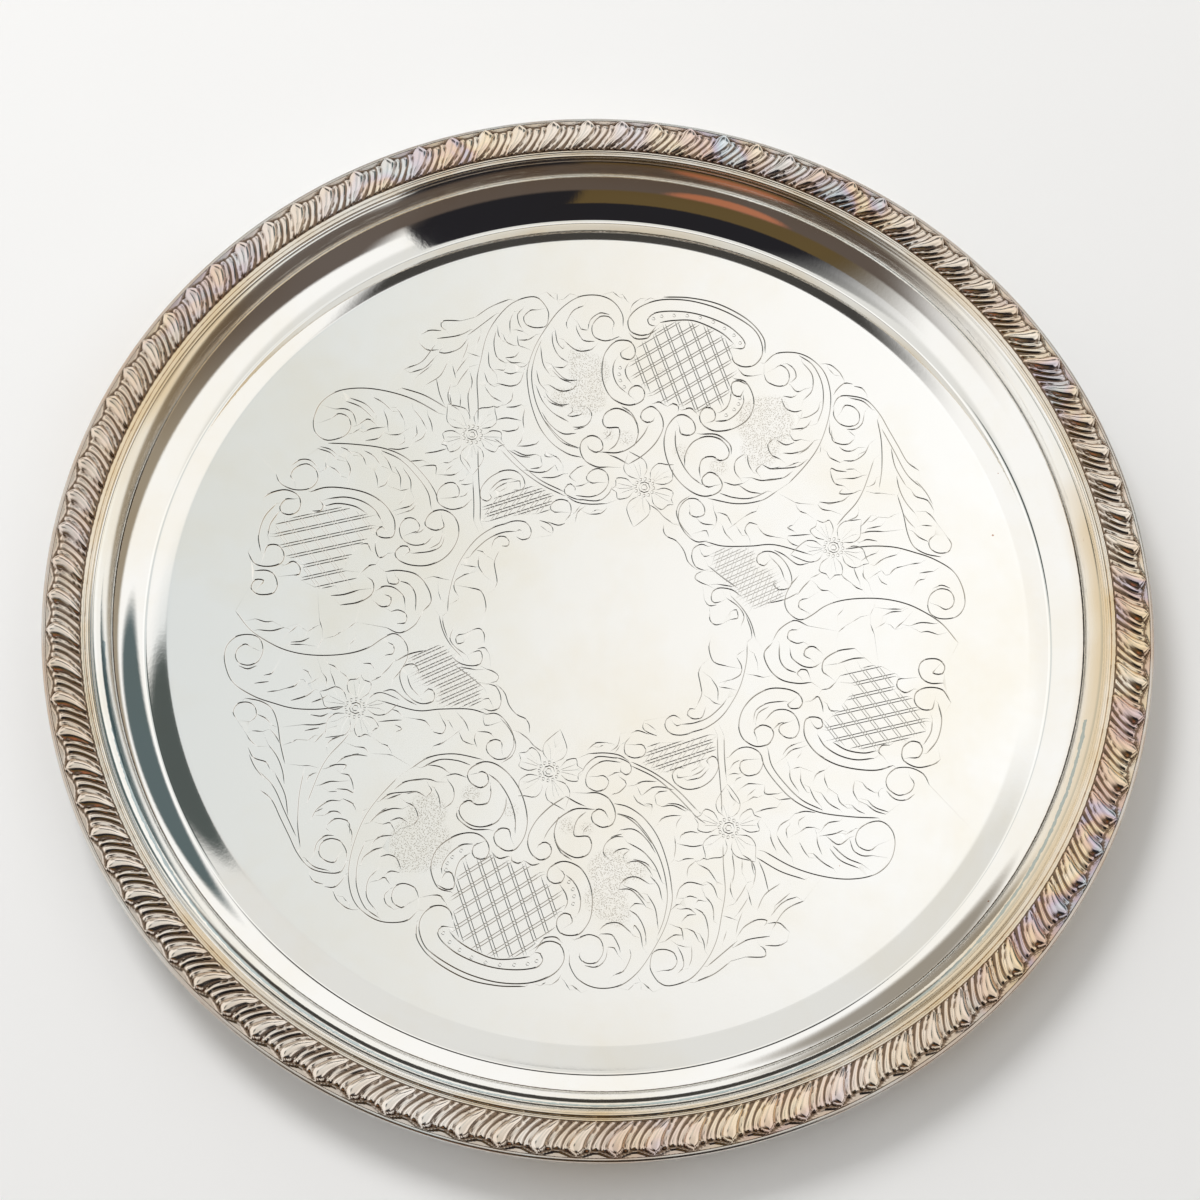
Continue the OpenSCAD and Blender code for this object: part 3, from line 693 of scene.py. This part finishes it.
def border_height(turn, r):
    """Height above the border's base, and how deep in a recess each point is, from 0 to 1, which sets the
    painted shade in the hollows.
    """
    s = (LOBE_OUT_R - r) / BAND_W
    phase = turn * LOBES / (2 * math.pi) - lobe_shift(np.clip(s, 0, 1))
    u = phase - np.floor(phase + 0.5)
    side = np.abs(u)
    between = side - 0.5
    half = lobe_half_width(s)
    inside = (s > -0.02) & (s < 1.02)
    crown = 0.55 * np.sqrt(np.clip(1 - (2 * np.clip(s, 0, 1) - 1) ** 2, 0, 1))
    length = np.interp(s, [0, 0.3, 0.7, 1.0], [1.0, 1.0, 0.86, 0.5])
    lobe = 1.85 * ridge(u, half) * length
    rib_line = np.interp(s, [0.0, 0.25, 0.7, 1.0], [0.28, 0.315, 0.285, 0.21])
    starts = smooth(s, 0.06, 0.16) * (1 - smooth(s, 0.96, 1.0))
    rib = 0.70 * ridge(side - rib_line, 0.062 + 0 * s) * starts
    tongue = 0.60 * ridge(between, np.interp(s, [0.1, 0.3, 1.0], [0.095, 0.09, 0.075])) * \
        smooth(s, 0.10, 0.20) * (1 - smooth(s, 0.95, 1.0))
    height = np.where(inside, crown + np.maximum(np.maximum(lobe, rib), tongue), 0)
    edge = LOBE_OUT_R + 0.05 + 0.62 * (np.cos(2 * math.pi * u) - 0.35)
    scallop = 0.62 * ridge(r - edge, 0.24)
    height = np.maximum(height * (r < edge + 0.05), scallop)
    # Painted shade mask: 1 in the hollows between lobes, ribs and tongues, falling to 0 towards their
    # crowns, a flat 0.35 off the band.
    deep = np.clip(1 - (np.maximum(np.maximum(lobe / 1.2, rib / 0.5), tongue / 0.5)), 0, 1)
    deep = np.where(inside & (r < edge), deep, 0.35)
    return height, deep


def gadroon_border():
    around = LOBES * 24
    radii = np.concatenate([
        [FILLET_OUT_R, FILLET_OUT_R + 0.02],
        np.linspace(FILLET_OUT_R + 0.1, LOBE_OUT_R + 0.75, 34), [BASE_R - 0.05, BASE_R]])
    turns = np.linspace(0, 2 * math.pi, around, endpoint=False)
    tt, rr = np.meshgrid(turns, radii, indexing="ij")
    # The columns of the mesh follow the sweep of the lobes, so every ridge runs along an edge.
    tt = tt + lobe_shift(np.clip((LOBE_OUT_R - rr) / BAND_W, 0, 1)) * 2 * math.pi / LOBES
    height, deep = border_height(tt, rr)
    height[:, :1] = 0
    height[:, -2:] = 0
    limit = LOBE_TOP_Z - BASE_Z
    zz = BASE_Z + np.minimum(height, limit)
    rings = np.stack([rr * np.cos(tt), rr * np.sin(tt), zz], axis=-1)
    under = np.stack([np.stack([r * np.cos(t), r * np.sin(t), np.full(around, FLANGE_Z)], -1)
                      for r, t in ((BASE_R, tt[:, -1]), (FILLET_OUT_R, tt[:, 0]))], axis=1)
    rings = np.concatenate([rings, under], axis=1)
    count = rings.shape[1]
    faces = []
    for i in range(around):
        a, b = i * count, ((i + 1) % around) * count
        for j in range(count):
            k = (j + 1) % count
            faces.append((a + j, a + k, b + k, b + j))
    obj = mesh_object("gadroon_mount", rings.reshape(-1, 3), faces)
    # Painted shade: the hollows' mask, with a flat 0.5 on the two underside rows.
    depth = np.concatenate([deep, np.full((around, 2), 0.5)], axis=1).reshape(-1)
    layer = obj.data.attributes.new("recess", "FLOAT", "POINT")
    layer.data.foreach_set("value", depth.astype(np.float32))
    return obj


# ---- Mouldings ----------------------------------------------------------------------------------


def fillet_ring():
    low = frame_mm("fillet_ring", 1, 2)
    bead_r = 0.26 * (FILLET_OUT_R - COVE_R)
    outline = [(FILLET_OUT_R, FLANGE_Z), (FILLET_OUT_R, BASE_Z - 0.08), (FILLET_OUT_R - 0.08, BASE_Z),
               (COVE_R + 2 * bead_r + 1.0, BASE_Z), (COVE_R + 2 * bead_r + 0.9, BASE_Z - 0.1)]
    outline += arc((COVE_R + bead_r + 0.55, low - bead_r), bead_r, 0.2, math.pi, 14)
    outline += [(COVE_R + 0.55, FLANGE_Z)]
    return revolve("fillet_moulding", outline, 360)


def edge_wire():
    half_w = (PLATE_R - BASE_R) * 0.72
    centre = (PLATE_R - half_w, (frame_mm("edge_wire", 1, 2) + frame_mm("edge_wire", 0, 2)) / 2)
    half = math.acos((BASE_R - centre[0]) / half_w)
    return revolve("rim_wire", arc(centre, half_w, -half, half, 18), 360)


# ---- Materials ----------------------------------------------------------------------------------


class Nodes:
    """Builds a material's or world's node tree with short calls."""

    def __init__(self, tree):
        self.tree = tree
        tree.nodes.clear()

    def add(self, kind, **settings):
        node = self.tree.nodes.new(kind)
        for key, value in settings.items():
            if hasattr(node, key):
                setattr(node, key, value)
            else:
                node.inputs[key.replace("_", " ")].default_value = value
        return node

    def link(self, a, b):
        self.tree.links.new(a, b)

    def math(self, op, a, b=None, c=None, clamp=False):
        node = self.tree.nodes.new("ShaderNodeMath")
        node.operation = op
        node.use_clamp = clamp
        for i, v in enumerate((a, b, c)):
            if v is None:
                continue
            if isinstance(v, (int, float)):
                node.inputs[i].default_value = v
            else:
                self.link(v, node.inputs[i])
        return node.outputs[0]

    def mix(self, factor, a, b, mode="MIX"):
        node = self.tree.nodes.new("ShaderNodeMix")
        node.data_type = "RGBA"
        node.blend_type = mode
        for socket, v in ((node.inputs[0], factor), (node.inputs[6], a), (node.inputs[7], b)):
            if isinstance(v, (int, float)):
                socket.default_value = v
            elif isinstance(v, tuple):
                socket.default_value = v if len(v) == 4 else v + (1,)
            else:
                self.link(v, socket)
        return node.outputs[2]

    def noise(self, vector, scale, detail=4.0, rough=0.55, distortion=0.0):
        node = self.add("ShaderNodeTexNoise")
        node.inputs["Scale"].default_value = scale
        node.inputs["Detail"].default_value = detail
        node.inputs["Roughness"].default_value = rough
        node.inputs["Distortion"].default_value = distortion
        self.link(vector, node.inputs["Vector"])
        return node.outputs["Fac"]

    def ramp(self, factor, stops, mode="LINEAR"):
        node = self.tree.nodes.new("ShaderNodeValToRGB")
        ramp = node.color_ramp
        ramp.interpolation = mode
        while len(ramp.elements) > 1:
            ramp.elements.remove(ramp.elements[-1])
        for i, (place, colour) in enumerate(stops):
            stop = ramp.elements[0] if i == 0 else ramp.elements.new(place)
            stop.position = place
            stop.color = colour if len(colour) == 4 else colour + (1,)
        self.link(factor, node.inputs[0])
        return node.outputs["Color"]


def patches_of(n, place, discs):
    """A soft mask of round patches, repeated by half a turn about the engraving's centre."""
    parts = n.add("ShaderNodeSeparateXYZ")
    n.link(place, parts.inputs[0])
    x = n.math("SUBTRACT", parts.outputs[0], ENGRAVING_CENTRE[0] * MM)
    y = n.math("SUBTRACT", parts.outputs[1], ENGRAVING_CENTRE[1] * MM)
    hand = n.math("MULTIPLY", n.math("SIGN", y), -1.0)
    x, y = n.math("MULTIPLY", x, hand), n.math("MULTIPLY", y, hand)
    total = None
    for (cx, cy), radius in discs:
        dx, dy = n.math("SUBTRACT", x, cx * MM), n.math("SUBTRACT", y, cy * MM)
        away = n.math("SQRT", n.math("ADD", n.math("MULTIPLY", dx, dx), n.math("MULTIPLY", dy, dy)))
        disc = n.math("MULTIPLY_ADD", away, -1 / (1.5 * MM), radius / 1.5 + 0.5, clamp=True)
        total = disc if total is None else n.math("MAXIMUM", total, disc)
    return total


def sheet_marks(n, place, colour):
    """Gold tarnish at the top of the cove, a painted teal reflection line round the near side of the cove
    and brown specks, laid over a colour.

    Also gives how far out each point is, as a share of the plate's radius.
    """
    parts = n.add("ShaderNodeSeparateXYZ")
    n.link(place, parts.inputs[0])
    x, y = parts.outputs[0], parts.outputs[1]
    away = n.math("SQRT", n.math("ADD", n.math("MULTIPLY", x, x), n.math("MULTIPLY", y, y)))
    outwards = n.math("MULTIPLY", away, 1 / (PLATE_R * MM))
    rim = n.ramp(outwards, [(0.87, (0, 0, 0)), (0.912, (1, 1, 1))])
    gold = n.ramp(n.noise(place, 11.0, 3.0, 0.6), [(0.44, (0, 0, 0)), (0.62, (1, 1, 1))])
    colour = n.mix(n.math("MULTIPLY", n.math("MULTIPLY", rim, gold), 0.75), colour, (0.72, 0.54, 0.30))
    # Painted reflection: a thin frayed teal line round the cove, on the near side only.
    line = n.math("ABSOLUTE", n.math("SUBTRACT", away, REFLECTION_LINE_R * MM))
    frayed = n.math("MULTIPLY_ADD", n.noise(place, 420.0, 3.0, 0.7), 1.1 * MM, -0.15 * MM)
    near_reflection_line = n.math("MULTIPLY", n.math("LESS_THAN", line, frayed), n.math("LESS_THAN", y, -0.02))
    colour = n.mix(n.math("MULTIPLY", near_reflection_line, 0.55), colour, (0.12, 0.28, 0.34))
    specks = n.add("ShaderNodeTexVoronoi")
    specks.inputs["Scale"].default_value = 95.0
    n.link(place, specks.inputs["Vector"])
    cell = n.add("ShaderNodeSeparateColor")
    n.link(specks.outputs["Color"], cell.inputs[0])
    chosen = n.math("GREATER_THAN", cell.outputs[0], 0.80)
    size = n.math("MULTIPLY", chosen, n.math("MULTIPLY", cell.outputs[1], 0.05))
    speck = n.math("LESS_THAN", specks.outputs["Distance"], size)
    return n.mix(n.math("MULTIPLY", speck, 0.8), colour, (0.45, 0.20, 0.10)), outwards


def silver(name, clean, tarnish, share, rough, scratch=0.02, recess=None, film=0.0, stippled=None,
           sheet=False):
    """Silver plate: clean metal, warm tarnish in soft patches, fine wear scratches, and painted shade in
    recesses when a recess colour is given.
    """
    mat = bpy.data.materials.new(name)
    mat.use_nodes = True
    n = Nodes(mat.node_tree)
    out = n.add("ShaderNodeOutputMaterial")
    shader = n.add("ShaderNodeBsdfPrincipled")
    shader.inputs["Metallic"].default_value = 1.0
    n.link(shader.outputs[0], out.inputs[0])
    place = n.add("ShaderNodeTexCoord").outputs["Object"]
    patches = n.noise(place, 14.0, 5.0, 0.6, 0.4)
    fine = n.noise(place, 90.0, 4.0, 0.6)
    lo = 1.0 - share
    amount = n.ramp(n.math("ADD", n.math("MULTIPLY", patches, 0.8), n.math("MULTIPLY", fine, 0.2)),
                    [(max(lo - 0.22, 0.0), (0, 0, 0)), (min(lo + 0.12, 1.0), (1, 1, 1))])
    colour = n.mix(amount, clean, tarnish)
    if film:
        bands = n.noise(place, 34.0, 2.0, 0.5, 1.2)
        hues = n.ramp(bands, [(0.30, (0.95, 0.90, 0.78)), (0.42, (0.93, 0.70, 0.36)),
                              (0.50, (0.72, 0.40, 0.30)), (0.56, (0.42, 0.34, 0.62)),
                              (0.64, (0.40, 0.62, 0.80)), (0.75, (0.92, 0.92, 0.88))])
        where = n.ramp(n.noise(place, 9.0, 2.0), [(0.48, (0, 0, 0)), (0.62, (1, 1, 1))])
        colour = n.mix(n.math("MULTIPLY", where, film), colour, hues)
    if sheet:
        colour, outwards = sheet_marks(n, place, colour)
    # Painted shade: the colour is mixed towards the recess colour where the recess attribute is high.
    if recess is not None:
        deep = n.add("ShaderNodeAttribute", attribute_name="recess").outputs["Fac"]
        dark = n.ramp(deep, [(0.15, (0, 0, 0)), (0.85, (1, 1, 1))])
        colour = n.mix(n.math("MULTIPLY", dark, 0.92), colour, recess)
    if stippled:
        dots = n.add("ShaderNodeTexVoronoi")
        dots.inputs["Scale"].default_value = 2300.0
        n.link(place, dots.inputs["Vector"])
        punched = n.ramp(dots.outputs["Distance"], [(0.15, (1, 1, 1)), (0.5, (0, 0, 0))])
        ground = n.math("MULTIPLY", patches_of(n, place, stippled), punched)
        colour = n.mix(n.math("MULTIPLY", ground, 0.8), colour, (0.34, 0.30, 0.24))
    n.link(colour, shader.inputs["Base Color"])
    wear = n.noise(place, 260.0, 3.0, 0.7)
    gloss = n.math("ADD", n.math("MULTIPLY", wear, rough * 0.6), rough * 0.7)
    if sheet:
        # The wall keeps its polish; the floor is dulled by wear.
        floor = n.ramp(outwards, [(0.788, (1, 1, 1)), (0.790, (0, 0, 0))])
        gloss = n.math("MULTIPLY", gloss, n.math("MULTIPLY_ADD", floor, 0.65, 0.35))
    n.link(gloss, shader.inputs["Roughness"])
    bump = n.add("ShaderNodeBump")
    bump.inputs["Strength"].default_value = scratch
    bump.inputs["Distance"].default_value = 0.0004
    n.link(n.noise(place, 900.0, 2.0, 0.6), bump.inputs["Height"])
    n.link(bump.outputs[0], shader.inputs["Normal"])
    return mat


def solder_grey():
    mat = bpy.data.materials.new("solder")
    mat.use_nodes = True
    n = Nodes(mat.node_tree)
    out = n.add("ShaderNodeOutputMaterial")
    shader = n.add("ShaderNodeBsdfPrincipled")
    shader.inputs["Metallic"].default_value = 1.0
    n.link(shader.outputs[0], out.inputs[0])
    place = n.add("ShaderNodeTexCoord").outputs["Object"]
    grey = n.mix(n.noise(place, 60.0), (0.42, 0.42, 0.44), (0.56, 0.56, 0.57))
    n.link(grey, shader.inputs["Base Color"])
    n.link(n.math("ADD", n.math("MULTIPLY", n.noise(place, 200.0), 0.2), 0.4), shader.inputs["Roughness"])
    return mat


# ---- Stage, light and camera --------------------------------------------------------------------

CAMERA_AWAY = 873.8
CAMERA_TILT = math.radians(20.77)
CAMERA_ROLL = math.radians(-4.59)
CAMERA_TARGET = (-0.3, 7.2, 2.8)
LENS = 90.0


def camera():
    data = bpy.data.cameras.new("camera")
    data.lens = LENS
    data.sensor_width = 36.0
    data.clip_end = 20
    obj = bpy.data.objects.new("camera", data)
    bpy.context.collection.objects.link(obj)
    right, up = Vector((1, 0, 0)), Vector((0, math.cos(CAMERA_TILT), math.sin(CAMERA_TILT)))
    cr, sr = math.cos(CAMERA_ROLL), math.sin(CAMERA_ROLL)
    x_axis, y_axis = right * cr - up * sr, right * sr + up * cr
    z_axis = x_axis.cross(y_axis)
    place = (Vector(CAMERA_TARGET) + z_axis * CAMERA_AWAY) * MM
    obj.matrix_world = Matrix.Translation(place) @ Matrix((x_axis, y_axis, z_axis)).transposed().to_4x4()
    bpy.context.scene.camera = obj
    return obj


def stage_floor():
    size = 3000
    obj = mesh_object("stage_floor", [(-size, -size, -0.01), (size, -size, -0.01), (size, size, -0.01),
                                      (-size, size, -0.01)], [(0, 1, 2, 3)], smooth_shade=False)
    mat = bpy.data.materials.new("stage_white")
    mat.use_nodes = True
    n = Nodes(mat.node_tree)
    out = n.add("ShaderNodeOutputMaterial")
    shader = n.add("ShaderNodeBsdfPrincipled")
    shader.inputs["Roughness"].default_value = 0.9
    place = n.add("ShaderNodeTexCoord").outputs["Object"]
    n.link(n.mix(n.noise(place, 3.0), (0.90, 0.90, 0.90), (0.92, 0.92, 0.92)), shader.inputs["Base Color"])
    n.link(shader.outputs[0], out.inputs[0])
    obj.data.materials.append(mat)


def sky():
    """A white tent of light with dark openings where the room shows."""
    world = bpy.data.worlds.new("studio")
    bpy.context.scene.world = world
    world.use_nodes = True
    n = Nodes(world.node_tree)
    out = n.add("ShaderNodeOutputWorld")
    back = n.add("ShaderNodeBackground")
    n.link(back.outputs[0], out.inputs[0])
    ray = n.add("ShaderNodeTexCoord").outputs["Generated"]
    parts = n.add("ShaderNodeSeparateXYZ")
    n.link(ray, parts.inputs[0])
    x, y, z = parts.outputs

    def toward(azimuth, elevation, inner, outer):
        """A soft disc of the sky about a direction; inner and outer are half-angles in degrees."""
        a, e = math.radians(azimuth), math.radians(elevation)
        d = (math.cos(a) * math.cos(e), math.sin(a) * math.cos(e), math.sin(e))
        dot = n.math("ADD", n.math("ADD", n.math("MULTIPLY", x, d[0]), n.math("MULTIPLY", y, d[1])),
                     n.math("MULTIPLY", z, d[2]))
        node = n.add("ShaderNodeMapRange", interpolation_type="SMOOTHSTEP")
        n.link(dot, node.inputs[0])
        node.inputs[1].default_value = math.cos(math.radians(outer))
        node.inputs[2].default_value = math.cos(math.radians(inner))
        return node.outputs[0]

    def band(value, lo, hi):
        """A smooth rise from 0 at lo to 1 at hi; lo may be the larger."""
        node = n.add("ShaderNodeMapRange", interpolation_type="SMOOTHSTEP")
        n.link(value, node.inputs[0])
        node.inputs[1].default_value, node.inputs[2].default_value = min(lo, hi), max(lo, hi)
        node.inputs[3].default_value, node.inputs[4].default_value = (0.0, 1.0) if lo < hi else (1.0, 0.0)
        return node.outputs[0]

    def both(*masks):
        """The masks multiplied together."""
        total = masks[0]
        for mask in masks[1:]:
            total = n.math("MULTIPLY", total, mask)
        return total

    # The tent: grey on the left through cream to white on the right.
    across = n.math("MULTIPLY_ADD", x, 3.6, 0.5, clamp=True)
    colour = n.ramp(across, [(0.0, (0.73, 0.76, 0.76)), (0.25, (0.80, 0.81, 0.78)),
                             (0.5, (0.97, 0.95, 0.91)), (0.75, (1.04, 1.03, 1.01)),
                             (1.0, (1.08, 1.08, 1.07))])
    colour = n.mix(band(y, 0.30, 0.12), colour, (0.78, 0.775, 0.75))
    colour = n.mix(band(z, 0.86, 0.78), colour, (1.0, 0.99, 0.97))
    # The dark opening on the camera's side, sharp at its right and soft at its left, brown low down.
    near = band(y, -0.22, -0.28)
    right_edge = n.math("SUBTRACT", n.math("MULTIPLY_ADD", y, -0.62, 0.16), x)
    left_edge = n.math("ADD", n.math("MULTIPLY_ADD", y, -0.72, 0.02), x)
    opening = both(near, band(right_edge, 0.0, 0.03), band(left_edge, -0.38, 0.06))
    colour = n.mix(opening, colour, (0.018, 0.017, 0.020))
    brown = both(opening, band(z, 0.72, 0.69), band(x, 0.16, 0.12))
    colour = n.mix(brown, colour, (0.115, 0.078, 0.032))
    # The room below it, with one warm patch.
    low = both(band(y, -0.20, -0.45), band(z, 0.44, 0.36), band(x, -0.95, -0.60))
    colour = n.mix(low, colour, (0.11, 0.085, 0.07))
    colour = n.mix(both(low, toward(-106, 22, 7, 11)), colour, (0.42, 0.16, 0.085))
    # A haze low down on the right.
    haze = n.mix(band(y, -0.45, 0.15), (0.13, 0.105, 0.09), (0.34, 0.29, 0.22))
    slant = n.math("MULTIPLY_ADD", y, 0.40, z)
    colour = n.mix(both(band(x, 0.50, 0.66), band(slant, 0.40, 0.31)), colour, haze)
    # A dark bar beyond the plate, and three smaller cards.
    bar = both(band(z, 0.54, 0.60), band(z, 0.80, 0.75), band(y, 0.56, 0.66), band(x, -0.31, -0.25),
               band(x, 0.38, 0.24))
    colour = n.mix(bar, colour, (0.055, 0.052, 0.048))
    colour = n.mix(toward(160, 62, 6, 9), colour, (0.085, 0.10, 0.095))
    colour = n.mix(toward(43, 26, 13, 18), colour, (0.11, 0.145, 0.15))
    colour = n.mix(toward(119, 14, 8, 17), colour, (0.34, 0.31, 0.27))
    n.link(colour, back.inputs[0])
    back.inputs[1].default_value = 1.0


def lamp(name, place_mm, aim_mm, size_mm, power, colour=(1, 1, 1)):
    data = bpy.data.lights.new(name, "AREA")
    data.shape = "DISK"
    data.size = size_mm * MM
    data.energy = power
    data.color = colour
    obj = bpy.data.objects.new(name, data)
    bpy.context.collection.objects.link(obj)
    place = Vector(place_mm) * MM
    obj.location = place
    obj.rotation_euler = (Vector(aim_mm) * MM - place).to_track_quat("-Z", "Y").to_euler()
    obj.visible_glossy = False
    return obj


# ---- Putting it together ------------------------------------------------------------------------

CLEAN = (0.95, 0.945, 0.925)


def piece(obj, node, material):
    obj.data.materials.append(material)
    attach(obj, "root")
    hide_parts(node)


# Both recess colours below are painted shade: in the floor's engraved cuts and between the mount's lobes.
piece(tray_sheet(), "tray_body",
      silver("plated_sheet", CLEAN, (0.91, 0.86, 0.75), 0.34, 0.13, scratch=0.01, recess=(0.30, 0.27, 0.22),
             stippled=STIPPLED, sheet=True))
piece(gadroon_border(), "gadroon_border",
      silver("plated_mount", (0.94, 0.90, 0.86), (0.76, 0.60, 0.44), 0.45, 0.15,
             recess=(0.15, 0.09, 0.05), film=0.5))
piece(fillet_ring(), "fillet_ring", silver("plated_moulding", CLEAN, (0.76, 0.58, 0.34), 0.46, 0.10))
piece(edge_wire(), "edge_wire", silver("plated_wire", (0.70, 0.74, 0.74), (0.60, 0.44, 0.32), 0.45, 0.2))
solder = frame["nodes"]["solder_fill"]
solder.data.materials.clear()
solder.data.materials.append(solder_grey())

stage_floor()
sky()
camera()
lamp("key", (-700, 900, 1400), (0, 0, 0), 700, 14)
bpy.context.scene.view_settings.view_transform = "Standard"
